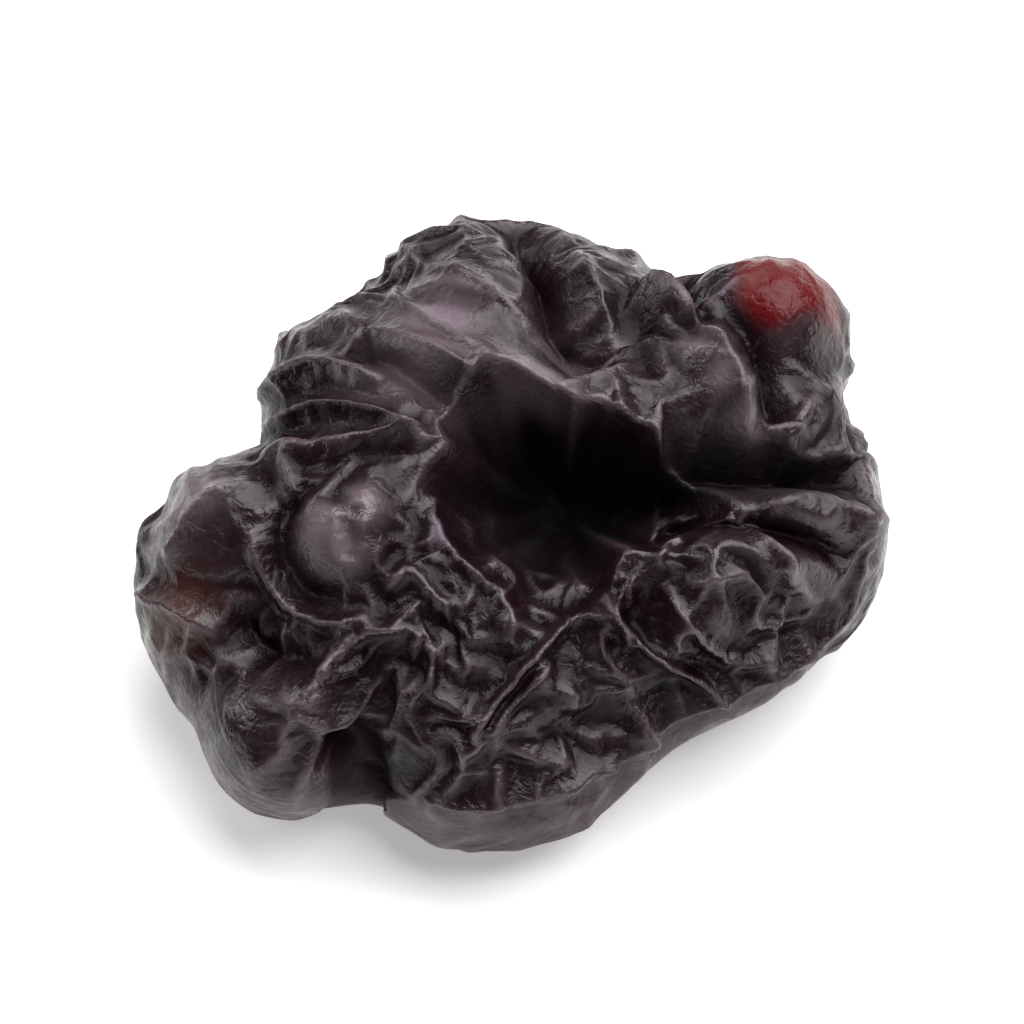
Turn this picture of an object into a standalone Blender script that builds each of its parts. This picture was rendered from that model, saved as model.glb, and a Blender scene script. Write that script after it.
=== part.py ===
"""A dried sour cherry lying on its flattened underside, with the stem hollow facing up.

The fruit is one solid. A sphere is drawn out to the squat body, the lobes, folds and crumples of the shrunken
skin are pushed in or pulled out along the surface, the stem hollow is sunk in the top, and the underside is cut
flat where it rests.
Lengths are in millimetres until the mesh is made, which is in metres, +Z up.
The origin is at the middle of the fruit's box, on the surface that it rests on.
"""

import bmesh
import bpy
import numpy as np

NODE_NAME = "dried_sour_cherry"
MM = 0.001

WIDTH = 18.0
DEPTH = 15.8
HEIGHT = 8.2

# The widest section stands this high over the resting face in the middle, and tilts up towards the back.
WAIST_HEIGHT = 3.4
WAIST_TILT = 0.16
TOP_ROUNDNESS = 2.5
UNDERSIDE_ROUNDNESS = 2.6
# How much of the underside is cut away to leave the flat face.
FLATTENED = 0.35

# The sphere that is shaped is a cube with this many squares along each edge, pushed out to a sphere.
CUBE_SQUARES = 28
# How strongly its points are drawn up towards the folded top, where small triangles are wanted.
CROWDING = 0.22

# The outline seen from above: bearing in degrees, anticlockwise from +X, and distance from the middle.
OUTLINE = (
    (0, 9.0),
    (13, 8.9),
    (25, 8.8),
    (35, 9.3),
    (47, 8.7),
    (56, 7.5),
    (67, 7.6),
    (83, 7.9),
    (95, 7.9),
    (111, 7.8),
    (122, 7.1),
    (143, 7.3),
    (165, 6.5),
    (181, 8.5),
    (191, 9.1),
    (209, 9.0),
    (221, 9.1),
    (231, 8.7),
    (242, 7.6),
    (259, 7.9),
    (278, 7.5),
    (294, 6.8),
    (313, 6.6),
    (335, 7.6),
    (347, 8.5),
)

# The stem hollow: middle, half width, and how far its oval reaches to the back and to the front.
HOLLOW_MIDDLE = (1.2, -0.3)
HOLLOW_HALF_WIDTH = 3.7
HOLLOW_REACH_BACK = 1.7
HOLLOW_REACH_FRONT = 3.5
HOLLOW_DEPTH = 4.2
# The bearing of the oval's right end in degrees.
HOLLOW_TURN = -14.0
# How round the hollow's floor is, and how far it reaches under the back edge.
HOLLOW_ROUNDING = 1.6
HOLLOW_UNDERCUT = 1.1
# How uneven the rim is: waves round it, their size as a share of its radius, and their start in radians.
RIM_WAVES = ((3, 0.12, 0.6), (5, 0.09, 2.0))

# Rounded swellings of the top: middle, radius and height. A dip has a height below zero.
SWELLINGS = (
    ((-0.5, 3.0), 2.4, 0.7),
    ((3.0, 3.5), 1.6, 0.5),
    ((2.8, 3.2), 1.3, -1.0),
    ((6.5, 5.0), 1.5, 0.9),
    ((-4.0, -2.0), 1.3, 1.0),
    ((-7.5, -1.0), 1.5, 0.6),
    ((-5.5, -6.0), 1.4, 0.7),
    ((7.0, -1.0), 1.2, 0.6),
    ((4.8, -2.8), 1.5, 0.45),
    ((-6.0, -3.5), 1.3, -0.6),
    ((1.5, -5.0), 2.6, -0.3),
)

# Creases and ridges of the top: the points that each passes through, its half width, and its height.
# A crease has a height below zero.
CREASES = (
    (((0.0, 7.5), (0.8, 5.5), (1.0, 3.5), (2.0, 2.0)), 0.75, -0.8),
    (((3.5, 0.0), (7.0, -0.2), (9.5, 0.8)), 0.75, -1.0),
    (((-3.2, -7.8), (-3.5, -7.0), (-4.0, -6.0)), 0.75, -0.9),
    (((5.0, 4.5), (6.2, 2.8), (6.6, 1.4)), 0.7, -0.6),
    (((4.0, 5.5), (4.5, 4.0), (4.0, 3.0)), 0.7, -0.4),
    (((-5.0, -0.7), (-5.6, -2.0), (-4.5, -3.5)), 0.6, -0.4),
)
RIDGES = (
    (((-3.0, -7.0), (0.6, -6.6), (3.6, -5.5), (7.2, -3.1), (8.1, -2.0)), 0.8, 0.4),
    (((2.5, 5.8), (4.2, 4.4), (5.0, 2.6), (5.6, 0.8)), 0.7, 0.6),
    (((-4.6, -5.6), (-3.8, -4.5), (-2.2, -4.5)), 0.7, 0.35),
)

# The crumpled skin: the spacing of its crests, their height, and the seed of the waves that lay them out.
CRUMPLE_SPACING = 2.0
CRUMPLE_HEIGHT = 0.34
# How rounded the crests are, as a share of the crumples' height.
CRUMPLE_ROUNDING = 0.25
CRUMPLE_SEED = 41
CRUMPLE_WAVES = 28
# The top's crumples are shallower on the smooth lobe behind the hollow: its middle and radius.
SMOOTH_LOBE = ((-1.0, 2.6), 2.4)

SKIN_COLOUR = (0.030, 0.014, 0.018, 1.0)
SKIN_ROUGHNESS = 0.45


def clear_scene():
    for obj in list(bpy.data.objects):
        bpy.data.objects.remove(obj, do_unlink=True)


def smooth_step(value, low, high):
    """0 below low and 1 above high, with a smooth rise between them."""
    t = np.clip((value - low) / (high - low), 0.0, 1.0)
    return t * t * (3.0 - 2.0 * t)


def outline_radius(bearing):
    """A closed cubic curve through the outline's points, as distance from the middle at each bearing."""
    knots = np.radians([angle for angle, _ in OUTLINE])
    radii = np.array([radius for _, radius in OUTLINE])
    gaps = np.diff(np.append(knots, knots[0] + 2.0 * np.pi))
    slopes = (np.roll(radii, -1) - np.roll(radii, 1)) / (gaps + np.roll(gaps, 1))
    bearing = np.mod(bearing, 2.0 * np.pi)
    here = np.searchsorted(knots, bearing, side="right") - 1
    after = (here + 1) % len(knots)
    t = (bearing - knots[here]) / gaps[here]
    return (
        (1.0 + 2.0 * t) * (1.0 - t) ** 2 * radii[here]
        + t * (1.0 - t) ** 2 * gaps[here] * slopes[here]
        + t * t * (3.0 - 2.0 * t) * radii[after]
        + t * t * (t - 1.0) * gaps[here] * slopes[after]
    )


def round_cube(cube):
    """Pushes a cube's points out to a unit sphere, at equal angles along each of the cube's sides."""
    ruled = np.tan(cube * np.pi / 4.0)
    return ruled / np.linalg.norm(ruled, axis=1, keepdims=True)


def crowd_upwards(sphere):
    """Slides the points of a unit sphere up along its meridians, so that they lie closer together on top."""
    level = np.hypot(sphere[:, 0], sphere[:, 1])
    polar = np.arctan2(level, sphere[:, 2])
    raised = polar - CROWDING * np.sin(polar)
    turn = np.sin(raised) / np.maximum(level, 1e-9)
    return np.column_stack((sphere[:, 0] * turn, sphere[:, 1] * turn, np.cos(raised)))


def body(sphere):
    """The smooth body: points of a unit sphere moved out to a squat form with the outline as its waist."""
    level = np.hypot(sphere[:, 0], sphere[:, 1])
    rise = np.abs(sphere[:, 2])
    roundness = np.where(sphere[:, 2] > 0.0, TOP_ROUNDNESS, UNDERSIDE_ROUNDNESS)
    fullness = (level**roundness + rise**roundness) ** (-1.0 / roundness)
    radius = outline_radius(np.arctan2(sphere[:, 1], sphere[:, 0])) * fullness
    waist = WAIST_HEIGHT + WAIST_TILT * sphere[:, 1] * radius
    half_height = np.where(sphere[:, 2] > 0.0, HEIGHT - WAIST_HEIGHT, waist)
    return np.column_stack(
        (
            sphere[:, 0] * radius,
            sphere[:, 1] * radius,
            sphere[:, 2] * half_height * fullness + waist,
        )
    )


def distance_to_path(plan, path):
    """Distance in plan from each point to the nearest stretch of a path of straight lines."""
    corners = np.array(path)
    nearest = np.full(len(plan), np.inf)
    for start, end in zip(corners[:-1], corners[1:]):
        along = end - start
        share = np.clip((plan - start) @ along / (along @ along), 0.0, 1.0)
        nearest = np.minimum(nearest, np.linalg.norm(plan - start - share[:, None] * along, axis=1))
    return nearest


def top_relief(points, sphere):
    """How far the skin of the top stands out or in: swellings, creases and ridges, fading out down the sides."""
    plan = points[:, :2]
    relief = np.zeros(len(points))
    for middle, radius, height in SWELLINGS:
        away = np.linalg.norm(plan - np.array(middle), axis=1) / radius
        relief += height * np.exp(-away * away)
    for path, half_width, height in CREASES + RIDGES:
        away = distance_to_path(plan, path) / half_width
        relief += height * np.exp(-away * away)
    return relief * smooth_step(sphere[:, 2], -0.25, 0.15)


def ripple(points, wavelength, chance):
    """A smooth uneven field in space: the sum of plane waves in random directions, about -1 to 1."""
    ways = chance.normal(size=(CRUMPLE_WAVES, 3))
    ways /= np.linalg.norm(ways, axis=1, keepdims=True)
    numbers = 2.0 * np.pi / wavelength * chance.uniform(0.7, 1.4, size=(CRUMPLE_WAVES, 1))
    phases = chance.uniform(0.0, 2.0 * np.pi, size=CRUMPLE_WAVES)
    waves = np.cos(points @ (ways * numbers).T + phases)
    return waves.sum(axis=1) / np.sqrt(CRUMPLE_WAVES)


def crumple_relief(points, sphere):
    """The crumpled skin: crests along a ripple's zero lines, with broad hollows between them and a plain foot."""
    chance = np.random.default_rng(CRUMPLE_SEED)
    crests = 0.4 - np.hypot(ripple(points, 2.0 * CRUMPLE_SPACING, chance), CRUMPLE_ROUNDING)
    middle, radius = SMOOTH_LOBE
    away = np.linalg.norm(points[:, :2] - np.array(middle), axis=1) / radius
    plain = 0.7 * np.exp(-away * away)
    return CRUMPLE_HEIGHT * crests * (1.0 - plain) * smooth_step(sphere[:, 2], -0.95, -0.4)


def sink_hollow(points, sphere):
    """The stem hollow: points inside its uneven oval sink, and its floor slides under the back edge."""
    turn = np.radians(HOLLOW_TURN)
    right, back = (points[:, :2] - np.array(HOLLOW_MIDDLE)).T
    east = right * np.cos(turn) + back * np.sin(turn)
    north = back * np.cos(turn) - right * np.sin(turn)
    bearing = np.arctan2(north, east)
    uneven = 1.0 + sum(size * np.sin(times * bearing + start) for times, size, start in RIM_WAVES)
    reach = np.where(north > 0.0, HOLLOW_REACH_BACK, HOLLOW_REACH_FRONT)
    away = np.hypot(east / HOLLOW_HALF_WIDTH, north / reach) / uneven
    inside = np.clip(1.0 - away**2, 0.0, 1.0) ** HOLLOW_ROUNDING * smooth_step(sphere[:, 2], 0.0, 0.3)
    sunk = points.copy()
    sunk[:, 2] -= HOLLOW_DEPTH * inside
    sunk[:, 1] += HOLLOW_UNDERCUT * inside
    return sunk


def shape_fruit(mesh):
    """Moves the vertices of a unit sphere to the fruit's skin."""
    sphere = crowd_upwards(round_cube(np.array([vertex.co for vertex in mesh.verts])))
    points = body(sphere)
    for vertex, point in zip(mesh.verts, points):
        vertex.co = point
    mesh.normal_update()
    normals = np.array([vertex.normal for vertex in mesh.verts])
    relief = top_relief(points, sphere) + crumple_relief(points, sphere)
    points = sink_hollow(points + relief[:, None] * normals, sphere)
    for vertex, point in zip(mesh.verts, points):
        vertex.co = point


def cut_resting_face(mesh):
    """Cuts the underside flat at the height where the fruit rests, and closes it with one face."""
    lowest = min(vertex.co.z for vertex in mesh.verts)
    cut = bmesh.ops.bisect_plane(
        mesh,
        geom=mesh.verts[:] + mesh.edges[:] + mesh.faces[:],
        dist=1e-4,
        plane_co=(0.0, 0.0, lowest + FLATTENED),
        plane_no=(0.0, 0.0, -1.0),
        clear_outer=True,
    )
    rim = [item for item in cut["geom_cut"] if isinstance(item, bmesh.types.BMEdge)]
    bmesh.ops.contextual_create(mesh, geom=rim)
    bmesh.ops.recalc_face_normals(mesh, faces=mesh.faces[:])


def fit_to_size(mesh):
    """Brings the box to the fruit's size in metres, with the origin at the middle of its base."""
    points = np.array([vertex.co for vertex in mesh.verts])
    low = points.min(axis=0)
    high = points.max(axis=0)
    scale = np.array((WIDTH, DEPTH, HEIGHT)) / (high - low) * MM
    origin = np.array(((low[0] + high[0]) / 2.0, (low[1] + high[1]) / 2.0, low[2]))
    for vertex, point in zip(mesh.verts, (points - origin) * scale):
        vertex.co = point


def skin_material():
    """Dark, slightly glossy dried cherry skin."""
    material = bpy.data.materials.new("dried_cherry_skin")
    material.use_nodes = True
    shader = material.node_tree.nodes["Principled BSDF"]
    shader.inputs["Base Color"].default_value = SKIN_COLOUR
    shader.inputs["Roughness"].default_value = SKIN_ROUGHNESS
    shader.inputs["Metallic"].default_value = 0.0
    return material


def make_cherry():
    """The fruit as one closed solid."""
    mesh = bmesh.new()
    bmesh.ops.create_cube(mesh, size=2.0)
    bmesh.ops.subdivide_edges(mesh, edges=mesh.edges[:], cuts=CUBE_SQUARES - 1, use_grid_fill=True)
    shape_fruit(mesh)
    cut_resting_face(mesh)
    fit_to_size(mesh)
    data = bpy.data.meshes.new(NODE_NAME)
    mesh.to_mesh(data)
    mesh.free()
    data.shade_smooth()
    data.materials.append(skin_material())
    cherry = bpy.data.objects.new(NODE_NAME, data)
    bpy.context.scene.collection.objects.link(cherry)
    return cherry


clear_scene()
make_cherry()
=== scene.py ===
"""A dried sour cherry lying on a pale tabletop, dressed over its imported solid.

The fruit's skin is one closed surface. A unit sphere is drawn out to the squat, lobed body, the stem hollow,
lobes and main folds are laid on it, and then the skin is grown over the shrunken flesh until it buckles into
ridges, as real skin does when the flesh under it dries. Lengths are in millimetres until the mesh is made.
"""

import logging
import math
from dataclasses import dataclass
from enum import Enum

import bpy
import numpy as np
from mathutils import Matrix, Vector


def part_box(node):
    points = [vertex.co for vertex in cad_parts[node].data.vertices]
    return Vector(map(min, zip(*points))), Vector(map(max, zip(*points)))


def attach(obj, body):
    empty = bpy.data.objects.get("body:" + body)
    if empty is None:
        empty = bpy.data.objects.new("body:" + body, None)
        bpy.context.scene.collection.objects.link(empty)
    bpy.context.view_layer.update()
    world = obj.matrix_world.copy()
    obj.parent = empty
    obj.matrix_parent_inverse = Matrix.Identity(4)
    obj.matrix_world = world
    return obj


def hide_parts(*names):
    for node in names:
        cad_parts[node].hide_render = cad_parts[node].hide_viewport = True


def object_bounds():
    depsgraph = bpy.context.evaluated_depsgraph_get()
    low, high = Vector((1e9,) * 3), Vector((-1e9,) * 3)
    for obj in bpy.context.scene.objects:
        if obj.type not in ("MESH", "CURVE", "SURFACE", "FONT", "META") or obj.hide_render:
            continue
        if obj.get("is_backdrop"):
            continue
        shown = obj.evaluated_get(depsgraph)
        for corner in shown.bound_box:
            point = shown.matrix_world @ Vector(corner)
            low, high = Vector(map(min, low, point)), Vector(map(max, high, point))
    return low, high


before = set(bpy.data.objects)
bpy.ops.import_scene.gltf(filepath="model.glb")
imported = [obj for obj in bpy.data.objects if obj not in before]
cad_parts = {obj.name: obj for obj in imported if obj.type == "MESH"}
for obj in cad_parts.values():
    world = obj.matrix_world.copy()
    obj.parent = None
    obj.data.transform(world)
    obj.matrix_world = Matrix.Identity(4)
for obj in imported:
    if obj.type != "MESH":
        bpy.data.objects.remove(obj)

LOG = logging.getLogger("dried_sour_cherry")
CAD_NODE = "dried_sour_cherry"
ATTRIBUTES = ("proud", "crest", "painted_sheen", "ruby", "rust", "hollow")
Array = np.ndarray
Pair = tuple[float, float]


def linear(colour: str) -> tuple[float, float, float, float]:
    """Turns an sRGB hex colour into Blender's linear colour.

    Args:
        colour: The colour as "#rrggbb".

    Returns:
        Linear red, green and blue, and an alpha of 1.
    """
    parts = [int(colour[i : i + 2], 16) / 255.0 for i in (1, 3, 5)]
    straight, power = 0.04045, 2.4
    red, green, blue = (c / 12.92 if c <= straight else ((c + 0.055) / 1.055) ** power for c in parts)
    return red, green, blue, 1.0


def smooth_step(value: Array, low: float, high: float) -> Array:
    """Rises from 0 at low to 1 at high along 3t^2 - 2t^3.

    Args:
        value: What is measured.
        low: Where the rise starts.
        high: Where the rise ends.

    Returns:
        The share from 0 to 1, in the shape of value.
    """
    t = np.clip((value - low) / (high - low), 0.0, 1.0)
    return t * t * (3.0 - 2.0 * t)


def crumple(points: Array, wavelength: float, seed: int) -> Array:
    """Sharp crests between broad hollows: 1 less the size of a ripple, whose crests follow its zero lines.

    Args:
        points: Places in millimetres, one row each.
        wavelength: The ripple's mean wavelength, twice the crests' spacing, in millimetres.
        seed: Chooses the ripple.

    Returns:
        One value for each point, about -1 to 0.4.
    """
    warped = points + 0.2 * wavelength * np.column_stack(
        [ripple(points, 1.3 * wavelength, seed + 100 * axis) for axis in (1, 2, 3)]
    )
    return 0.4 - np.abs(ripple(warped, wavelength, seed))


def ripple(points: Array, wavelength: float, seed: int, waves: int = 28) -> Array:
    """A smooth random field in space: the sum of plane waves in random directions, scaled to about -1 to 1.

    Args:
        points: Places in millimetres, one row each.
        wavelength: The mean length of the waves in millimetres.
        seed: Chooses the directions and phases.
        waves: How many waves are summed.

    Returns:
        One value for each point.
    """
    chance = np.random.default_rng(seed)
    ways = chance.normal(size=(waves, 3))
    ways /= np.linalg.norm(ways, axis=1, keepdims=True)
    numbers = 2.0 * np.pi / wavelength * chance.uniform(0.7, 1.4, size=(waves, 1))
    phases = chance.uniform(0.0, 2.0 * np.pi, size=waves)
    return np.cos(points @ (ways * numbers).T + phases).sum(axis=1) / math.sqrt(waves)


class SkinGrid:
    """A unit sphere's surface as six square sheets of quads, joined along their edges.

    Each sheet is a face of a cube, ruled in equal angles and pushed out to the sphere, so there is no pole.
    """

    def __init__(self, cells: int) -> None:
        """Numbers the sheets' points, and joins those that meet at the cube's edges.

        Args:
            cells: Quads along each side of a sheet.
        """
        self.cells = cells
        steps = np.arange(cells + 1)
        across, along = np.meshgrid(steps, steps, indexing="ij")
        turns = (
            (0, 1, 2, cells), (0, 2, 1, 0), (1, 2, 0, cells), (1, 0, 2, 0), (2, 0, 1, cells), (2, 1, 0, 0),
        )
        corners = np.zeros((6, cells + 1, cells + 1, 3), dtype=np.int64)
        for sheet, (axis, first, second, level) in zip(corners, turns):
            sheet[..., axis], sheet[..., first], sheet[..., second] = level, across, along
        keys = corners @ np.array((1, cells + 1, (cells + 1) ** 2))
        unique, numbers = np.unique(keys, return_inverse=True)
        self.sheets = numbers.reshape(keys.shape)
        place = np.zeros((len(unique), 3))
        place[self.sheets.ravel()] = corners.reshape(-1, 3)
        cube = np.tan((place / cells * 2.0 - 1.0) * np.pi / 4.0)
        self.sphere = cube / np.linalg.norm(cube, axis=1, keepdims=True)
        s = self.sheets
        corners = (s[:, :-1, :-1], s[:, 1:, :-1], s[:, 1:, 1:], s[:, :-1, 1:])
        self.quads = np.stack(corners, axis=-1).reshape(-1, 4)
        q = self.quads
        self.beside = self._table(np.concatenate([q[:, (0, 1)], q[:, (1, 2)], q[:, (2, 3)], q[:, (3, 0)]]))
        self.aslant = self._table(np.concatenate([q[:, (0, 2)], q[:, (1, 3)]]))

    def _table(self, pairs: Array) -> Array:
        """Lists each point's neighbours.

        Args:
            pairs: Two point numbers a row, each pair joined.

        Returns:
            Four neighbours a row, with the point itself where a cube's corner has only three.
        """
        both = np.unique(np.concatenate((pairs, pairs[:, ::-1])), axis=0)
        count = len(self.sphere)
        first = np.searchsorted(both[:, 0], np.arange(count))
        rank = np.arange(len(both)) - first[both[:, 0]]
        table = np.repeat(np.arange(count)[:, None], 4, axis=1)
        table[both[:, 0], rank] = both[:, 1]
        return table

    def mean_beside(self, values: Array) -> Array:
        """The mean of each point's four neighbours' values."""
        near = self.beside
        return 0.25 * (values[near[:, 0]] + values[near[:, 1]] + values[near[:, 2]] + values[near[:, 3]])

    def smooth(self, values: Array, times: int) -> Array:
        """Spreads values over the grid: each turn moves a point's value half way to its neighbours' mean."""
        for _ in range(times):
            values = 0.5 * (values + self.mean_beside(values))
        return values

    def normals(self, points: Array) -> Array:
        """Unit normals: at each point, the sum of the cross products of the diagonals of its quads.

        Args:
            points: The surface's points.

        Returns:
            One outward unit vector for each point.
        """
        a, b, c, d = (points[self.quads[:, k]] for k in range(4))
        facing = np.cross(c - a, d - b)
        total = np.zeros_like(points)
        for axis in range(3):
            weights = np.repeat(facing[:, axis], 4)
            total[:, axis] = np.bincount(self.quads.ravel(), weights=weights, minlength=len(points))
        return total / np.linalg.norm(total, axis=1, keepdims=True)

    def refine(self, values: Array, finer: "SkinGrid") -> Array:
        """Carries values to a grid of twice the cells: new points take the mean of those on each side.

        Args:
            values: One row for each of this grid's points.
            finer: A grid with twice as many cells a side.

        Returns:
            One row for each of the finer grid's points.
        """
        sheet = values[self.sheets]
        fine = np.zeros((6, 2 * self.cells + 1, 2 * self.cells + 1) + values.shape[1:])
        fine[:, ::2, ::2] = sheet
        fine[:, 1::2, ::2] = 0.5 * (sheet[:, 1:] + sheet[:, :-1])
        fine[:, :, 1::2] = 0.5 * (fine[:, :, :-1:2] + fine[:, :, 2::2])
        out = np.zeros((len(finer.sphere),) + values.shape[1:])
        out[finer.sheets.ravel()] = fine.reshape((-1,) + values.shape[1:])
        return out


@dataclass(frozen=True)
class Body:
    """The smooth squat body of the fruit, with its outline as the waist.

    The outline is a closed cubic curve through bearings in degrees and distances in millimetres.
    """

    outline: tuple[Pair, ...] = (
        (0, 9.0), (13, 8.9), (25, 8.8), (35, 9.3), (47, 8.7), (56, 7.5), (67, 7.6), (83, 7.9), (95, 7.9),
        (111, 7.8), (122, 7.1), (143, 7.3), (165, 6.5), (181, 8.5), (191, 9.1), (209, 9.0), (221, 9.1),
        (231, 8.7), (242, 7.6), (259, 7.9), (278, 7.5), (294, 6.8), (313, 6.6), (335, 7.6), (347, 8.5),
    )
    height: float = 8.2
    waist: float = 3.4
    waist_tilt: float = 0.16
    top_roundness: float = 2.5
    under_roundness: float = 2.6
    crowding: float = 0.22

    def radius(self, bearing: Array) -> Array:
        """The waist's distance from the middle at each bearing, by cubic curves between the outline's points.

        Args:
            bearing: Angles in radians, anticlockwise from +X.

        Returns:
            Distances in millimetres.
        """
        knots = np.radians([angle for angle, _ in self.outline])
        radii = np.array([far for _, far in self.outline])
        gaps = np.diff(np.append(knots, knots[0] + 2.0 * np.pi))
        slopes = (np.roll(radii, -1) - np.roll(radii, 1)) / (gaps + np.roll(gaps, 1))
        bearing = np.mod(bearing, 2.0 * np.pi)
        here = np.searchsorted(knots, bearing, side="right") - 1
        after = (here + 1) % len(knots)
        t = (bearing - knots[here]) / gaps[here]
        return (
            (1.0 + 2.0 * t) * (1.0 - t) ** 2 * radii[here]
            + t * (1.0 - t) ** 2 * gaps[here] * slopes[here]
            + t * t * (3.0 - 2.0 * t) * radii[after]
            + t * t * (t - 1.0) * gaps[here] * slopes[after]
        )

    def crowd(self, sphere: Array) -> Array:
        """Slides a sphere's points up their meridians by crowding times the sine of the polar angle.

        Args:
            sphere: Unit vectors.

        Returns:
            Unit vectors that lie closer together round the top.
        """
        level = np.hypot(sphere[:, 0], sphere[:, 1])
        polar = np.arctan2(level, sphere[:, 2])
        raised = polar - self.crowding * np.sin(polar)
        turn = np.sin(raised) / np.maximum(level, 1e-9)
        return np.column_stack((sphere[:, 0] * turn, sphere[:, 1] * turn, np.cos(raised)))

    def surface(self, sphere: Array) -> Array:
        """Moves a sphere's points out to the body.

        Level r and rise z go to the curve |r|^n + |z|^n = 1, stretched to the waist's radius and the heights
        over and under the waist, whose plane tilts up towards the back.

        Args:
            sphere: Unit vectors.

        Returns:
            Points in millimetres.
        """
        level = np.hypot(sphere[:, 0], sphere[:, 1])
        power = np.where(sphere[:, 2] > 0.0, self.top_roundness, self.under_roundness)
        fullness = (level**power + np.abs(sphere[:, 2]) ** power) ** (-1.0 / power)
        radius = self.radius(np.arctan2(sphere[:, 1], sphere[:, 0])) * fullness
        waist = self.waist + self.waist_tilt * sphere[:, 1] * radius
        half = np.where(sphere[:, 2] > 0.0, self.height - self.waist, waist)
        height = sphere[:, 2] * half * fullness + waist
        return np.column_stack((sphere[:, 0] * radius, sphere[:, 1] * radius, height))


PATH_PIECES = 8


class FoldKind(Enum):
    """Whether a fold stands out of the skin or is drawn into it."""

    RIDGE = 1.0
    CREASE = -1.0


def arc(middle: Pair, radius: float, start: float, end: float, count: int = 6) -> tuple[Pair, ...]:
    """Points along a round arc, seen from above.

    Args:
        middle: The arc's middle, in millimetres.
        radius: Its radius, in millimetres.
        start: The first point's bearing in degrees, anticlockwise from +X.
        end: The last point's bearing in degrees.
        count: How many points.

    Returns:
        The points, in order.
    """
    turns = np.radians(np.linspace(start, end, count))
    return tuple((middle[0] + radius * math.cos(turn), middle[1] + radius * math.sin(turn)) for turn in turns)


@dataclass(frozen=True)
class Fold:
    """A ridge or crease along a smooth path, tapered at its ends.

    The path is drawn from above and dropped onto the body. The fold's section is height times
    exp(-(d / half width)^sharpness) at a distance d, so a sharpness of 1 gives a pinched crest and 2 a
    rounded one.
    """

    kind: FoldKind
    path: tuple[Pair, ...]
    half_width: float
    height: float
    sharpness: float = 1.3

    def _line(self, body: Array, out: Array) -> tuple[Array, Array]:
        """The path as short straight pieces of Catmull-Rom curves through its points, dropped onto the body.

        Args:
            body: The body's points.
            out: Its normals.

        Returns:
            The pieces' ends, and each one's share of the way along the path.
        """
        knots = np.array(self.path, dtype=float)
        padded = np.vstack((2 * knots[0] - knots[1], knots, 2 * knots[-1] - knots[-2]))
        spans = len(knots) - 1
        share = np.linspace(0.0, spans, spans * PATH_PIECES + 1)
        here = np.minimum(share.astype(int), spans - 1)
        t = (share - here)[:, None]
        a, b, c, d = (padded[here + k] for k in range(4))
        bend, twist = 2 * a - 5 * b + 4 * c - d, 3 * b - a - 3 * c + d
        plan = 0.5 * (2 * b + (c - a) * t + bend * t**2 + twist * t**3)
        upper = np.flatnonzero(out[:, 2] > 0.0)
        under = [upper[np.argmin(((body[upper, :2] - spot) ** 2).sum(axis=1))] for spot in plan]
        return body[under], share / spans

    def relief(self, body: Array, out: Array) -> Array:
        """How far the fold moves the skin along its normal.

        Args:
            body: The body's points.
            out: Its normals.

        Returns:
            Millimetres, out of the skin where positive.
        """
        line, share = self._line(body, out)
        reach = 4.0 * self.half_width + 0.2
        low, high = line.min(axis=0) - reach, line.max(axis=0) + reach
        near = np.flatnonzero(np.all((body > low) & (body < high), axis=1))
        spot = body[near]
        best = np.full(len(near), np.inf)
        along = np.zeros(len(near))
        for start, end, s0, s1 in zip(line[:-1], line[1:], share[:-1], share[1:]):
            step = end - start
            part = np.clip((spot - start) @ step / max(float(step @ step), 1e-9), 0.0, 1.0)
            away = np.linalg.norm(spot - start - part[:, None] * step, axis=1)
            closer = away < best
            best[closer] = away[closer]
            along[closer] = (s0 + part * (s1 - s0))[closer]
        taper = np.sqrt(np.clip(np.minimum(along, 1.0 - along) * 5.0, 0.0, 1.0))
        moved = np.zeros(len(body))
        moved[near] = taper * np.exp(-((best / self.half_width) ** self.sharpness))
        return self.kind.value * self.height * moved


@dataclass(frozen=True)
class Patch:
    """A soft round patch, placed from above: 1 in its middle, falling along exp(-(d / radius)^fall)."""

    middle: Pair
    radius: float
    fall: float = 2.0

    def share(self, points: Array) -> Array:
        """The patch's strength at each point."""
        away = np.linalg.norm(points[:, :2] - np.array(self.middle), axis=1) / self.radius
        return np.exp(-(away**self.fall))


@dataclass(frozen=True)
class Swelling:
    """A rounded lobe, or a dip where its height is below zero."""

    patch: Patch
    height: float

    def relief(self, body: Array, out: Array) -> Array:
        """Millimetres out of the skin at each of the body's points, fading out below the waist."""
        return self.height * self.patch.share(body) * smooth_step(out[:, 2], -0.4, 0.1)


@dataclass(frozen=True)
class Rim:
    """The long ridge along the fruit's front, level with the middle of its side."""

    bearings: Pair = (248.0, 352.0)
    level: float = 3.9
    half_width: float = 0.4
    height: float = 0.42

    def relief(self, body: Array, out: Array) -> Array:
        """Millimetres out of the skin at each of the body's points."""
        bearing = np.degrees(np.mod(np.arctan2(body[:, 1], body[:, 0]), 2.0 * np.pi))
        within = smooth_step(bearing, self.bearings[0], self.bearings[0] + 26.0)
        within *= 1.0 - smooth_step(bearing, self.bearings[1] - 20.0, self.bearings[1])
        away = np.abs(body[:, 2] - self.level - 0.15 * np.sin(np.radians(7.0 * bearing))) / self.half_width
        return self.height * within * (np.exp(-(away**1.2)) - 0.35 * np.exp(-((away - 2.4) ** 2)))


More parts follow.
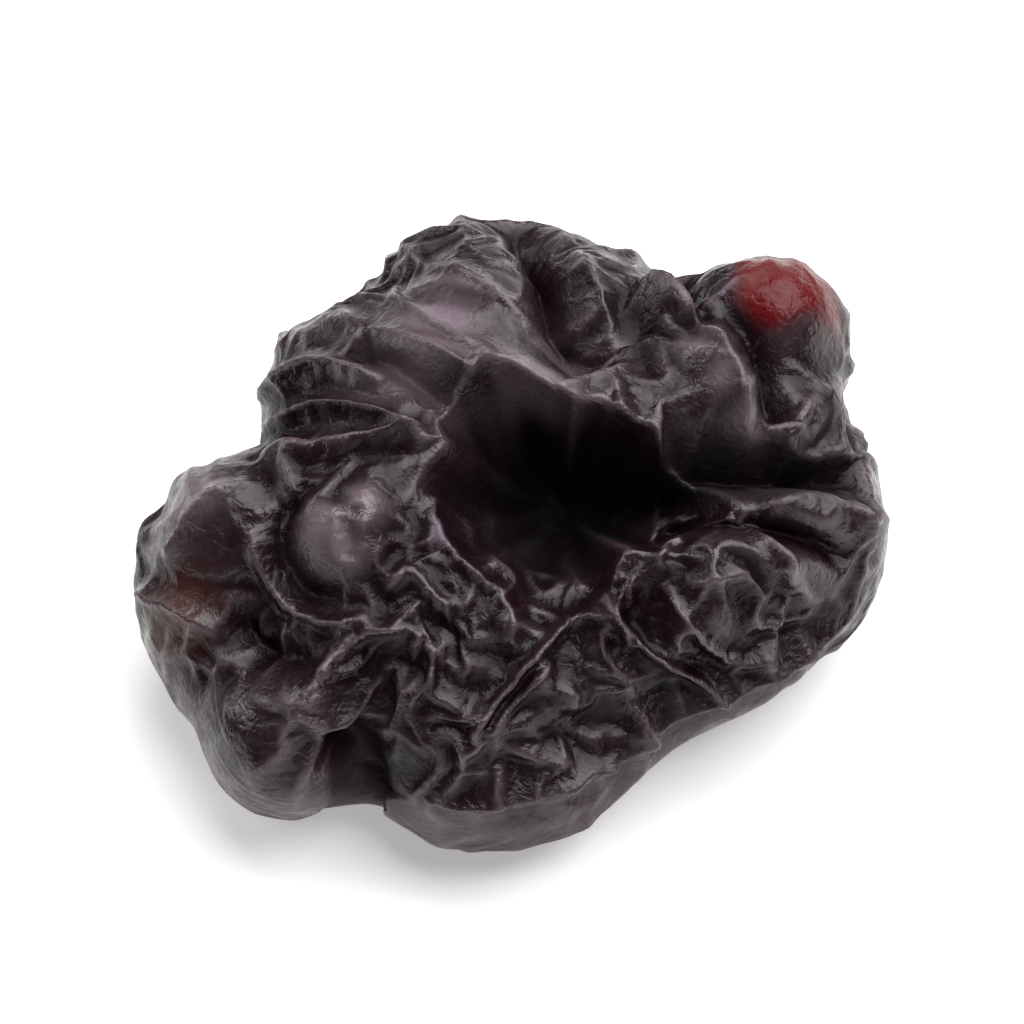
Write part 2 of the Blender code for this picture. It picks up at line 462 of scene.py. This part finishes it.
@dataclass(frozen=True)
class StemHollow:
    """The oval hollow that the stem left, whose floor reaches under its far edge."""

    middle: Pair = (1.2, -0.3)
    turn: float = -14.0
    half_width: float = 3.7
    reach_back: float = 1.7
    reach_front: float = 3.5
    depth: float = 4.4
    undercut: float = 1.2

    def inside(self, plan: Array) -> Array:
        """Rises from 0 at the hollow's uneven rim to 1 at its deepest, steeply behind and gently in front.

        With r the distance from the middle as a share of the way to the rim, the rise is (1 - r^2)^1.6.

        Args:
            plan: The skin's points seen from above.

        Returns:
            A share from 0 to 1 for each point.
        """
        turn = math.radians(self.turn)
        east, north = (plan - np.array(self.middle)).T
        cosine, sine = math.cos(turn), math.sin(turn)
        east, north = east * cosine + north * sine, north * cosine - east * sine
        bearing = np.arctan2(north, east)
        uneven = 1.0 + 0.12 * np.sin(3.0 * bearing + 0.6) + 0.09 * np.sin(5.0 * bearing + 2.0)
        uneven += 0.04 * np.sin(11.0 * bearing)
        reach = np.where(north > 0.0, self.reach_back, self.reach_front)
        away = np.hypot(east / self.half_width, north / reach) / uneven
        return np.clip(1.0 - away**2, 0.0, 1.0) ** 1.6

    def sink(self, points: Array, sphere: Array) -> Array:
        """Sinks the points inside the oval and slides them towards the back.

        Args:
            points: The skin's points.
            sphere: The same points on the unit sphere.

        Returns:
            The moved points.
        """
        share = self.inside(points[:, :2]) * smooth_step(sphere[:, 2], 0.0, 0.3)
        moved = points.copy()
        moved[:, 2] -= self.depth * share
        moved[:, 1] += self.undercut * share
        return moved


BUMP = (-4.0, -2.0)
LOBES = (
    # The two back lobes, the red one, and those on the left, at the front left and on the right.
    Swelling(Patch((-0.5, 3.0), 2.4), 0.7),
    Swelling(Patch((3.0, 3.5), 1.6), 0.5),
    Swelling(Patch((6.5, 5.0), 1.5), 0.9),
    Swelling(Patch((-7.5, -1.0), 1.5), 0.6),
    Swelling(Patch((-5.5, -6.0), 1.4), 0.7),
    Swelling(Patch((7.0, -1.0), 1.2), 0.6),
    # The valley between the groove and the long fold on the right.
    Swelling(Patch((2.8, 3.2), 1.3), -1.0),
    Swelling(Patch((4.8, -2.8), 1.5), 0.45),
    # The round bump.
    Swelling(Patch(BUMP, 1.05, 2.6), 0.9),
    Swelling(Patch((-3.3, -1.4), 0.7), 0.4),
    # The dips between the left lobes and over the front slope.
    Swelling(Patch((-6.0, -3.5), 1.3), -0.6),
    Swelling(Patch((1.5, -5.0), 2.6), -0.3),
)


def bead_places(count: int = 13, spacing: float = 0.8, swing: float = 1.2) -> tuple[Pair, ...]:
    """Places of the small beads of skin, in a wavering row along the front slope.

    Bead k is at x = -2.5 + spacing * k and y = -5.5 + 0.03 (x + 2.5)^2 + swing * sin(2.4 k), so the row
    follows the curve of the rim and no two neighbours lie side by side.

    Args:
        count: How many beads.
        spacing: Their distance apart along X, in millimetres.
        swing: How far they stray from the row, in millimetres.

    Returns:
        The places, from left to right.
    """
    turn = np.arange(count)
    east = -2.5 + spacing * turn
    north = -5.5 + 0.03 * (east + 2.5) ** 2 + swing * np.sin(2.4 * turn)
    return tuple(zip(east.tolist(), north.tolist()))


BEADS = tuple(Swelling(Patch(middle, 0.34), 0.26) for middle in bead_places())

# The long slit from the stem hollow to the right side.
SLIT = Fold(FoldKind.CREASE, ((3.5, 0.1), (5.5, 0.0), (7.0, 0.2), (8.7, 0.8)), 0.78, 1.9, 1.6)
CREASES = (
    # Between the two back lobes, and between the right one and the red one.
    (((0.0, 7.5), (0.8, 5.5), (1.0, 3.5), (2.0, 2.0)), 0.6, 1.4),
    (((4.0, 5.5), (4.5, 4.0), (4.0, 3.0)), 0.5, 0.9),
    # The short crease in front of the slit.
    (((3.5, -1.5), (5.5, -1.5), (8.0, -1.5)), 0.36, 1.0),
    # The pit at the front left, and the furrow up from it.
    (((-3.4, -7.5), (-3.6, -6.9), (-4.0, -6.0)), 0.6, 1.3),
    (((-7.0, -3.5), (-6.0, -4.5), (-4.5, -5.0)), 0.5, 0.6),
    # Round the bump, under the left of the plateau, and beside the hook.
    (arc(BUMP, 1.5, 120.0, 270.0), 0.26, 0.4),
    (((-4.3, -1.0), (-3.7, -1.7), (-3.8, -2.8)), 0.22, 0.3),
    (((-4.0, 3.0), (-3.0, 2.5), (-1.5, 1.0)), 0.35, 0.7),
    (((5.0, 4.5), (6.2, 2.8), (6.6, 1.4)), 0.5, 0.8),
)

RIDGES = (
    # Streaks down the plateau.
    (((-3.0, 4.5), (-1.5, 3.0), (0.0, 1.5)), 0.18, 0.24),
    (((-1.5, 5.0), (-0.5, 4.0), (0.5, 3.0)), 0.18, 0.24),
    (((-3.5, 3.5), (-2.5, 2.8), (-1.0, 1.8)), 0.16, 0.2),
    # The lip of the plateau over the stem hollow.
    (((-3.5, 3.0), (-1.0, 1.8), (1.0, 1.2), (2.8, 0.6)), 0.5, 0.5),
    # The back right lobe's ridge beside the groove, and the long fold that runs down on its right.
    (((1.5, 6.0), (2.0, 4.5), (2.5, 3.0)), 0.4, 0.45),
    (((3.0, 5.0), (4.2, 4.0), (5.0, 2.4), (5.8, 0.6)), 0.55, 0.85),
    # Above and below the slit.
    (((6.5, 1.0), (7.5, 1.0), (8.5, 1.5)), 0.3, 0.4),
    (((6.0, -1.0), (7.0, -0.5), (8.0, -0.5), (8.5, -1.0)), 0.3, 0.5),
    # The ear of small folds at the front right.
    (arc((5.0, -3.0), 1.6, 20.0, 170.0), 0.2, 0.36),
    (arc((5.0, -2.5), 1.5, 200.0, 330.0), 0.18, 0.32),
    (((4.0, -3.0), (5.5, -2.5)), 0.16, 0.26),
    # The left lobe's outer edge.
    (((-8.0, -2.0), (-7.5, -1.5), (-7.0, -1.0), (-6.0, -0.5)), 0.2, 0.36),
    # Along the left lobe's lower side.
    (((-8.8, -2.0), (-8.0, -2.8), (-7.0, -3.8)), 0.25, 0.4),
    # Round the bump, and on from it to the front.
    (arc(BUMP, 2.1, 170.0, 290.0), 0.2, 0.36),
    (((-3.0, -3.5), (-2.5, -3.0), (-2.0, -3.5), (-1.5, -4.0)), 0.17, 0.32),
    (((-2.0, -1.5), (-1.5, -2.5), (-0.5, -3.5)), 0.17, 0.34),
    # The swirl behind the bump.
    (((-6.0, 0.5), (-4.5, 0.2), (-3.5, 0.2), (-2.0, 0.5)), 0.26, 0.5),
    (((-6.0, 1.8), (-4.5, 1.6), (-3.2, 1.0), (-2.0, 0.0)), 0.26, 0.5),
    (((-6.0, 3.0), (-4.5, 2.8), (-3.0, 1.8)), 0.26, 0.5),
    # The front slope: an arc, two straight pinches side by side, and a fold on from them to the right.
    (arc((-3.0, -6.0), 1.7, 170.0, 60.0), 0.28, 0.42),
    (((-1.0, -6.5), (0.5, -5.0), (1.5, -4.0)), 0.15, 0.46),
    (((-0.5, -6.5), (1.0, -5.0)), 0.14, 0.36),
    (((1.5, -4.0), (2.5, -4.0), (3.5, -4.5), (5.0, -4.5)), 0.17, 0.4),
    (((2.0, -3.5), (2.5, -4.0), (3.0, -4.5)), 0.16, 0.3),
)

FOLDS = (
    SLIT,
    *(Fold(FoldKind.CREASE, path, half, deep, 1.6) for path, half, deep in CREASES),
    *(Fold(FoldKind.RIDGE, path, half, high) for path, half, high in RIDGES),
)

# Painted highlights, lighter patches of the sheen colour: on the bump's top and either side of it, over the
# back of the left lobe, and down the long fold on the right.
PAINTED_HIGHLIGHT_SPOTS = (
    ((-4.6, -2.1), 0.5),
    ((-3.5, -1.6), 0.45),
    ((-4.0, -2.6), 0.4),
    ((-7.6, -0.6), 0.7),
    ((4.4, 3.0), 0.4),
    ((5.0, 2.0), 0.4),
    ((5.6, 1.0), 0.35),
)

# Where the skin is stretched, and how much of its growth is missing: the plateau from left to right, the
# bump, the left and front left lobes, the red one, the long fold on the right, the swirl, the back right
# lobe, the lobe below the slit, and round the straight pinches.
STRETCHED = (
    (Patch((-2.2, 2.8), 1.7), 0.92),
    (Patch((-0.4, 2.2), 1.5), 0.92),
    (Patch((0.8, 1.6), 1.0), 0.75),
    (Patch(BUMP, 1.0), 0.45),
    (Patch((-7.0, -2.0), 1.2), 0.45),
    (Patch((-5.5, -6.5), 1.2), 0.15),
    (Patch((6.5, 4.5), 1.3), 0.7),
    (Patch((5.0, 2.8), 1.5), 0.85),
    (Patch((-4.2, 1.2), 1.7), 0.5),
    (Patch((3.0, 4.5), 1.6), 0.5),
    (Patch((7.0, -1.0), 1.2), 0.75),
    (Patch((0.5, -5.5), 1.1), 0.6),
)


@dataclass(frozen=True)
class Buckling:
    """How skin that is too large for its shrunken flesh folds.

    Springs join each point of the skin to its eight neighbours, and want to be longer than the body allows by
    the share called growth. The flesh holds the skin down, and more firmly inwards than outwards, so that it
    leaves broad hollows between narrow ridges. Stiffness against bending sets the distance between them.
    """

    growth: float
    bending: float
    holding: float
    inward_holding: float
    steps: int
    spring: float = 0.5
    pace: float = 0.36
    drag: float = 0.1

    def fold(self, grid: SkinGrid, body: Array, moved: Array, amount: Array, along: Array) -> Array:
        """Lets the skin find its shape, by small damped steps down its forces.

        Args:
            grid: How the points are joined.
            body: The points of the flesh's surface.
            moved: How far each point of the skin stands from it at the start.
            amount: A factor on the growth at each point.
            along: A unit direction at each point along which the skin grows most.

        Returns:
            How far each point of the skin stands from the flesh's surface at the end.
        """
        near = np.concatenate((grid.beside, grid.aslant), axis=1)
        out = grid.normals(body)
        rests = []
        for column in near.T:
            side = body[column] - body
            length = np.linalg.norm(side, axis=1)
            lined = np.abs((side * along).sum(axis=1)) / np.maximum(length, 1e-9)
            share = 0.5 * (amount + amount[column]) * (0.7 + 0.3 * lined**2)
            rests.append(length * (1.0 + self.growth * share))
        speed = np.zeros_like(body)
        points = body + moved
        for _ in range(self.steps):
            force = np.zeros_like(body)
            for column, rest in zip(near.T, rests):
                side = points[column] - points
                length = np.sqrt(np.einsum("ij,ij->i", side, side))
                force += side * (self.spring * (1.0 - rest / np.maximum(length, 1e-6)))[:, None]
            shift = points - body
            bent = grid.mean_beside(shift) - shift
            force -= self.bending * (grid.mean_beside(bent) - bent)
            height = np.einsum("ij,ij->i", shift, out)
            hold = np.where(height > 0.0, self.holding, self.inward_holding)
            force -= (hold * height)[:, None] * out + 0.2 * self.holding * shift
            speed = (1.0 - self.drag) * speed + self.pace * force
            points = points + self.pace * speed
        return points - body


@dataclass(frozen=True)
class CherrySkinFinish:
    """Skin of a dried sour cherry: thin, dark and waxy over syrupy flesh, shrunk into ridges and hollows.

    Its colours paint shade and light into it: near-black aubergine in the hollows as painted shade, and
    greyish mauve painted highlights and sheen where a ridge or a stretched facet takes the light. It has a
    satin gloss, and it glows ruby where the flesh behind it is thin.
    """

    # The base colour, left showing in the low places as painted shade, and laid again in random mottling.
    deep: str = "#10050b"
    facet: str = "#220e18"
    # Painted highlight along the narrow crests.
    ridge: str = "#5c4c56"
    # Painted sheen and highlights, greyish mauve.
    painted_sheen: str = "#6a5b63"
    ruby: str = "#57060a"
    rust: str = "#4a2a24"
    # Painted shade, near black, in the stem hollow, the pit at the front left and the slit.
    hollow: str = "#0d0609"
    roughness: float = 0.3
    hollow_roughness: float = 0.65
    ior: float = 1.4
    relief: float = 0.5
    oil: float = 0.16
    oil_roughness: float = 0.2
    oil_ior: float = 1.47

    def make(self) -> bpy.types.Material:
        """Builds the material from the skin's own attributes and fine noise.

        Returns:
            The material.
        """
        material = bpy.data.materials.new("dried_cherry_skin")
        material.use_nodes = True
        tree = material.node_tree
        tree.nodes.clear()
        place = node(tree, "ShaderNodeTexCoord").outputs["Object"]

        fields = {
            name: node(tree, "ShaderNodeAttribute", attribute_name=name).outputs["Fac"] for name in ATTRIBUTES
        }
        # Mottling about 1.5 mm across, from the uneven flesh behind the skin.
        mottle = node(
            tree, "ShaderNodeTexNoise", {"Vector": place, "Scale": 650.0, "Detail": 4.0, "Roughness": 0.55}
        ).outputs["Fac"]
        # Dull and glossy areas about 0.8 mm across, where sugar has dried on the skin.
        dull = node(
            tree, "ShaderNodeTexNoise", {"Vector": place, "Scale": 1250.0, "Detail": 2.0, "Roughness": 0.5}
        ).outputs["Fac"]
        # Grain of the skin, about 0.12 mm, for its bump and its broken gloss.
        grain = node(
            tree, "ShaderNodeTexNoise", {"Vector": place, "Scale": 5200.0, "Detail": 3.0, "Roughness": 0.6}
        ).outputs["Fac"]
        patchy = node(
            tree, "ShaderNodeMapRange", {"Value": mottle, "From Min": 0.35, "From Max": 0.7, "To Max": 0.5}
        ).outputs["Result"]
        # Each layer covers those before it: the amount that shows, and its colour. The dark base left in the
        # low places is painted shade, the ridge colour is a painted highlight, the sheen layer paints sheen
        # and highlights, and the hollow colour is painted shade in the stem hollow, the pit and the slit.
        layers = (
            (fields["proud"], self.facet),
            (fields["crest"], self.ridge),
            (patchy, self.deep),
            (fields["painted_sheen"], self.painted_sheen),
            (fields["rust"], self.rust),
            (fields["ruby"], self.ruby),
            (fields["hollow"], self.hollow),
        )
        colour = linear(self.deep)
        for amount, cover in layers:
            colour = node(
                tree, "ShaderNodeMix", {"Factor": amount, "A": colour, "B": linear(cover)}, data_type="RGBA"
            ).outputs[2]
        uneven = node(tree, "ShaderNodeMath", {0: grain, 1: dull}, operation="ADD").outputs["Value"]
        gloss = node(
            tree,
            "ShaderNodeMapRange",
            {
                "Value": uneven,
                "From Min": 0.75,
                "From Max": 1.25,
                "To Min": self.roughness - 0.1,
                "To Max": self.roughness + 0.2,
            },
        ).outputs["Result"]
        gloss = node(
            tree,
            "ShaderNodeMix",
            {"Factor": fields["hollow"], "A": gloss, "B": self.hollow_roughness},
            data_type="FLOAT",
        ).outputs[0]
        # Light is lost in the crevices, and the thin red skin is the least waxy.
        sheen = node(
            tree, "ShaderNodeMapRange", {"Value": fields["proud"], "To Min": 0.12, "To Max": 0.65}
        ).outputs["Result"]
        sheen = node(
            tree, "ShaderNodeMix", {"Factor": fields["ruby"], "A": sheen, "B": 0.3}, data_type="FLOAT"
        ).outputs[0]
        # A broken film of oil on the skin, which gives small sharp glints.
        oiled = node(
            tree,
            "ShaderNodeMapRange",
            {"Value": dull, "From Min": 0.35, "From Max": 0.65, "To Min": self.oil, "To Max": 0.0},
        ).outputs["Result"]
        oiled = node(
            tree, "ShaderNodeMix", {"Factor": fields["hollow"], "A": oiled, "B": 0.0}, data_type="FLOAT"
        ).outputs[0]
        # Hair-fine wrinkles about 0.3 mm apart, under the grain, which break up the oil's sheen.
        fine = node(
            tree,
            "ShaderNodeTexNoise",
            {"Vector": place, "Scale": 3000.0, "Detail": 2.0, "Roughness": 0.5, "Distortion": 1.2},
        ).outputs["Fac"]
        wrinkled = node(
            tree, "ShaderNodeBump", {"Height": fine, "Strength": self.relief, "Distance": 0.00008}
        ).outputs["Normal"]
        bump = node(
            tree,
            "ShaderNodeBump",
            {"Height": grain, "Strength": self.relief, "Distance": 0.00005, "Normal": wrinkled},
        ).outputs["Normal"]
        shader = node(
            tree,
            "ShaderNodeBsdfPrincipled",
            {
                "Base Color": colour,
                "Roughness": gloss,
                "IOR": self.ior,
                "Specular IOR Level": sheen,
                "Normal": bump,
                "Coat Weight": oiled,
                "Coat Roughness": self.oil_roughness,
                "Coat IOR": self.oil_ior,
                "Coat Normal": wrinkled,
            },
        )
        node(tree, "ShaderNodeOutputMaterial", {"Surface": shader.outputs["BSDF"]})
        return material


def node(
    tree: bpy.types.NodeTree, kind: str, inputs: dict | None = None, **settings: object
) -> bpy.types.Node:
    """Adds a node, sets its properties, and fills or links its inputs.

    Args:
        tree: Where it goes.
        kind: The node's Blender type.
        inputs: Input names or numbers, with a value or with a socket to link from.
        settings: The node's properties.

    Returns:
        The node.
    """
    made = tree.nodes.new(kind)
    for name, value in settings.items():
        setattr(made, name, value)
    for name, value in (inputs or {}).items():
        socket = made.inputs[name] if isinstance(name, int) else next(
            s for s in made.inputs if s.name == name and s.enabled
        )
        if isinstance(value, bpy.types.NodeSocket):
            tree.links.new(value, socket)
        else:
            socket.default_value = value
    return made


@dataclass
class DriedCherry:
    """The fruit: its body, lobes, folds and buckled skin, and its finish."""

    body: Body
    hollow: StemHollow
    reliefs: tuple[Swelling | Fold | Rim, ...]
    stretched: tuple[tuple[Patch, float], ...]
    finish: CherrySkinFinish
    cells: int = 128
    crumpling: float = 0.26
    unevenness: float = 0.1
    flattened: float = 0.35
    settling: float = 0.25

    def flesh(self, grid: SkinGrid) -> tuple[Array, Array]:
        """The body with its lobes, folds and stem hollow.

        Args:
            grid: The grid of the skin.

        Returns:
            The surface's points in millimetres, and how much of the skin's growth each of them has.
        """
        sphere = self.body.crowd(grid.sphere)
        points = self.body.surface(sphere)
        out = grid.normals(points)
        relief = sum(part.relief(points, out) for part in self.reliefs)
        slack = self.slackness(points, sphere)
        relief += self.unevenness * ripple(points, 4.5, 51)
        relief += self.crumpling * slack * (crumple(points, 3.8, 41) + 0.5 * crumple(points, 1.6, 42))
        sunk = self.hollow.sink(points + relief[:, None] * out, sphere)
        steepness = np.einsum("ij,ij->i", grid.normals(sunk), out)
        return sunk, slack * (0.1 + 0.9 * smooth_step(steepness, 0.3, 0.85))

    def skin(self) -> tuple[SkinGrid, Array]:
        """Grows the skin over the flesh, coarsely for its folds and then finely for its wrinkles.

        Returns:
            The finest grid, and the skin's points in millimetres.
        """
        stages = (
            (self.cells // 4, 3.0, 0.12, Buckling(0.2, 0.7, holding=0.03, inward_holding=0.12, steps=220)),
            (self.cells // 2, 1.7, 0.05, Buckling(0.22, 0.8, holding=0.012, inward_holding=0.05, steps=200)),
            (self.cells, 0.8, 0.012, Buckling(0.18, 0.2, holding=0.012, inward_holding=0.04, steps=130)),
        )
        grid, moved = SkinGrid(self.cells // 4), np.zeros(3)
        for turn, (cells, spacing, uneven, buckling) in enumerate(stages):
            finer = grid if turn == 0 else SkinGrid(cells)
            moved = moved if turn == 0 else grid.refine(moved, finer)
            grid = finer
            flesh, slack = self.flesh(grid)
            moved = moved + uneven * ripple(flesh, spacing, 11 + turn)[:, None] * grid.normals(flesh)
            moved = buckling.fold(grid, flesh, moved, slack, self.grain(flesh))
        return grid, flesh + grid.smooth(moved, 2)

    def slackness(self, points: Array, sphere: Array) -> Array:
        """How much of the growth each place has: little on the plateau, the rim's side and the foot."""
        amount = 0.6 + 0.35 * ripple(points, 4.0, 21) + 0.28 * Patch((0.5, -4.0), 4.0).share(points)
        amount *= 0.55 + 0.45 * smooth_step(sphere[:, 2], 0.1, 0.5)
        for patch, missing in self.stretched:
            amount *= 1.0 - missing * patch.share(points)
        amount *= 1.0 - 0.8 * self.hollow.inside(points[:, :2]) ** 2 * (sphere[:, 2] > 0.0)
        front = smooth_step(-points[:, 1], 1.0, 3.0)
        amount *= 1.0 - 0.6 * front * smooth_step(-points[:, 2], -4.0, -3.0)
        amount *= 1.0 - 0.5 * smooth_step(-sphere[:, 2], 0.5, 0.95)
        return np.clip(amount, 0.04, 1.3)

    def grain(self, points: Array) -> Array:
        """The way the skin grows most: round the fruit, turned a little this way and that."""
        bearing = np.arctan2(points[:, 1] - self.hollow.middle[1], points[:, 0] - self.hollow.middle[0])
        bearing += np.pi / 2.0 + 1.1 * ripple(points, 5.0, 31)
        return np.column_stack((np.cos(bearing), np.sin(bearing), np.zeros(len(points))))

    def settle(self, points: Array) -> Array:
        """Presses the underside flat: z goes to (z + sqrt(z^2 + s^2)) / 2, which never falls below 0.

        Args:
            points: The skin's points.

        Returns:
            The points with a foot that rests at a height of 0.
        """
        lifted = points[:, 2] - points[:, 2].min() - self.flattened
        settled = 0.5 * (lifted + np.sqrt(lifted**2 + self.settling**2))
        return np.column_stack((points[:, 0], points[:, 1], settled - settled.min()))

    def fitted(self, points: Array) -> Array:
        """Brings the skin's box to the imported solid's box, in metres."""
        low, high = (np.array(corner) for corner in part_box(CAD_NODE))
        start, end = points.min(axis=0), points.max(axis=0)
        return low + (points - start) / (end - start) * (high - low)

    def attributes(self, grid: SkinGrid, points: Array) -> dict[str, Array]:
        """What the finish needs to know at each point.

        Args:
            grid: The skin's grid.
            points: The skin's points in millimetres.

        Returns:
            Values from 0 to 1 by name: proud is low in hollows and high on lobes, and leaves the dark base as
            painted shade in the low places; crest is high on narrow ridges, where a highlight is painted; the
            sheen mask paints sheen and highlights; ruby and rust are the patches of those colours; and hollow
            is painted shade in the stem hollow, the pit at the front left and the slit.
        """
        out = grid.normals(points)
        unsunk = self.body.surface(self.body.crowd(grid.sphere))
        near = grid.smooth(points, 6)
        middling = grid.smooth(near, 20)
        broad = grid.smooth(middling, 70)
        crest = ((points - near) * out).sum(axis=1)
        folded = ((points - middling) * out).sum(axis=1)
        proud = ((points - broad) * out).sum(axis=1)
        # Painted sheen: streaked over the plateau, along the front band where the floor's reflection is
        # painted, and at the highlight spots.
        plateau = np.maximum(Patch((-1.8, 2.8), 1.7).share(points), Patch((0.5, 1.9), 1.2).share(points))
        lean = math.radians(-25.0)
        along = points[:, 0] * math.cos(lean) + points[:, 1] * math.sin(lean)
        across = points[:, 1] * math.cos(lean) - points[:, 0] * math.sin(lean)
        streaks = ripple(np.column_stack((along / 5.0, across, points[:, 2] / 5.0)), 0.7, 61)
        red = Patch((6.6, 5.1), 1.4).share(points) + 0.09 * ripple(points, 1.6, 62)
        # Painted highlights at those spots.
        painted_glints = 0.8 * sum(Patch(*spot).share(points) for spot in PAINTED_HIGHLIGHT_SPOTS)
        slit = smooth_step(-SLIT.relief(unsunk, grid.normals(unsunk)) / SLIT.height, 0.05, 0.6)
        front = smooth_step(-points[:, 1], 2.0, 4.5) * (1.0 - smooth_step(points[:, 2], 2.6, 4.0))
        values = (
            # Raised skin takes the facet colour; the low places keep the dark base colour as painted shade.
            smooth_step(proud, -0.25, 0.2) * (0.25 + 0.75 * smooth_step(folded, -0.09, 0.03)),
            # Painted highlight along the narrow crests.
            0.75 * smooth_step(crest, 0.012, 0.05),
            np.clip(plateau * (0.6 + 0.6 * streaks) + 0.32 * front + painted_glints, 0.0, 1.0),
            smooth_step(red, 0.25, 0.65) * smooth_step(points[:, 2], 3.5, 5.5),
            0.7 * Patch((-8.0, -3.0), 0.9).share(points) * smooth_step(points[:, 2], 2.5, 4.0),
            # Painted shade, near black: the stem hollow, the pit at the front left and the slit.
            np.maximum.reduce((
                smooth_step(self.hollow.inside(unsunk[:, :2]), 0.05, 0.8) * (unsunk[:, 2] > 5.0),
                Patch((-3.4, -7.1), 0.95, 3.0).share(unsunk) * smooth_step(unsunk[:, 2], 2.0, 3.5),
                0.85 * slit,
            )),
        )
        return dict(zip(ATTRIBUTES, values))

    def build(self) -> bpy.types.Object:
        """Makes the fruit's object, dresses it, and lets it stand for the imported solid.

        Returns:
            The fruit.
        """
        grid, points = self.skin()
        points = self.settle(points)
        mesh = bpy.data.meshes.new("cherry_skin")
        placed = self.fitted(points)
        mesh.vertices.add(len(placed))
        mesh.vertices.foreach_set("co", placed.astype(np.float32).ravel())
        mesh.loops.add(grid.quads.size)
        mesh.loops.foreach_set("vertex_index", grid.quads.astype(np.int32).ravel())
        mesh.polygons.add(len(grid.quads))
        mesh.polygons.foreach_set("loop_start", np.arange(0, grid.quads.size, 4, dtype=np.int32))
        mesh.update(calc_edges=True)
        for name, values in self.attributes(grid, points).items():
            layer = mesh.attributes.new(name, "FLOAT", "POINT")
            layer.data.foreach_set("value", values.astype(np.float32))
        mesh.shade_smooth()
        mesh.materials.append(self.finish.make())
        fruit = bpy.data.objects.new("cherry_skin", mesh)
        bpy.context.scene.collection.objects.link(fruit)
        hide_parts(CAD_NODE)
        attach(fruit, "root")
        return fruit


@dataclass
class Studio:
    """A white tabletop under soft light from above and behind, and the camera that looks down on it."""

    floor_side: float = 1.2
    elevation: float = 57.0
    lens: float = 400.0
    sensor: float = 36.0
    fill: float = 0.74
    table_glow: float = 0.35

    def build(self) -> None:
        """Makes the tabletop, the lights, the sky and the camera."""
        low, high = (np.array(corner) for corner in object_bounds())
        middle = (low + high) / 2.0
        self.tabletop(float(low[2]))
        self.light("overhead", (0.12, 0.12, 0.3), 0.46, 2.9, middle)
        self.light("left_back", (-0.28, 0.14, 0.22), 0.16, 0.4, middle)
        self.light("low_front", (0.05, -0.35, 0.08), 0.3, 0.3, middle)
        self.sky()
        self.camera(middle, float(high[0] - low[0]))

    def tabletop(self, level: float) -> None:
        """Lays a plain white tabletop, faintly lit from below, at the height the fruit rests on."""
        half = self.floor_side / 2.0
        mesh = bpy.data.meshes.new("tabletop")
        corners = [(-half, -half, level), (half, -half, level), (half, half, level), (-half, half, level)]
        mesh.from_pydata(corners, [], [(0, 1, 2, 3)])
        material = bpy.data.materials.new("opal_light_table")
        material.use_nodes = True
        shader = material.node_tree.nodes["Principled BSDF"]
        shader.inputs["Base Color"].default_value = linear("#f6f5f4")
        shader.inputs["Roughness"].default_value = 0.8
        shader.inputs["Emission Color"].default_value = linear("#f6f5f4")
        shader.inputs["Emission Strength"].default_value = self.table_glow
        mesh.materials.append(material)
        table = bpy.data.objects.new("tabletop", mesh)
        bpy.context.scene.collection.objects.link(table)
        table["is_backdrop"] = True

    def light(
        self, name: str, place: tuple[float, float, float], side: float, power: float, target: Array
    ) -> None:
        """Hangs a square soft light.

        Args:
            name: The light's name.
            place: Where it hangs, in metres.
            side: Its side, in metres.
            power: Its power in watts.
            target: The point it faces.
        """
        lamp = bpy.data.lights.new(name, "AREA")
        lamp.shape, lamp.size, lamp.energy = "SQUARE", side, power
        held = bpy.data.objects.new(name, lamp)
        held.location = place
        held.rotation_euler = (Vector(place) - Vector(target)).to_track_quat("Z", "Y").to_euler()
        bpy.context.scene.collection.objects.link(held)

    def sky(self) -> None:
        """Surrounds the table with an even pale grey."""
        world = bpy.data.worlds.new("studio")
        world.use_nodes = True
        shade = world.node_tree.nodes["Background"]
        shade.inputs["Color"].default_value = linear("#e8e8ea")
        shade.inputs["Strength"].default_value = 0.1
        bpy.context.scene.world = world
        bpy.context.scene.view_settings.view_transform = "Standard"

    def camera(self, middle: Array, width: float) -> None:
        """Places the camera so that the fruit's width fills the given share of the frame.

        Args:
            middle: The middle of the fruit, in metres.
            width: The fruit's width, in metres.
        """
        lens = bpy.data.cameras.new("camera")
        lens.lens, lens.sensor_width, lens.clip_start = self.lens, self.sensor, 0.01
        away = width / self.fill * self.lens / self.sensor
        slope = math.radians(self.elevation)
        held = bpy.data.objects.new("camera", lens)
        held.location = Vector(middle) + away * Vector((0.0, -math.cos(slope), math.sin(slope)))
        held.rotation_euler = (math.pi / 2.0 - slope, 0.0, 0.0)
        bpy.context.scene.collection.objects.link(held)
        bpy.context.scene.camera = held


def main() -> None:
    """Builds the fruit and the studio in order."""
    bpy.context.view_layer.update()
    reliefs = LOBES + BEADS + FOLDS + (Rim(),)
    cherry = DriedCherry(Body(), StemHollow(), reliefs, STRETCHED, CherrySkinFinish())
    fruit = cherry.build()
    LOG.info("%s: %d points", fruit.name, len(fruit.data.vertices))
    Studio().build()
    LOG.info("studio built")


if __name__ == "__main__":
    logging.basicConfig(level=logging.INFO)
    main()
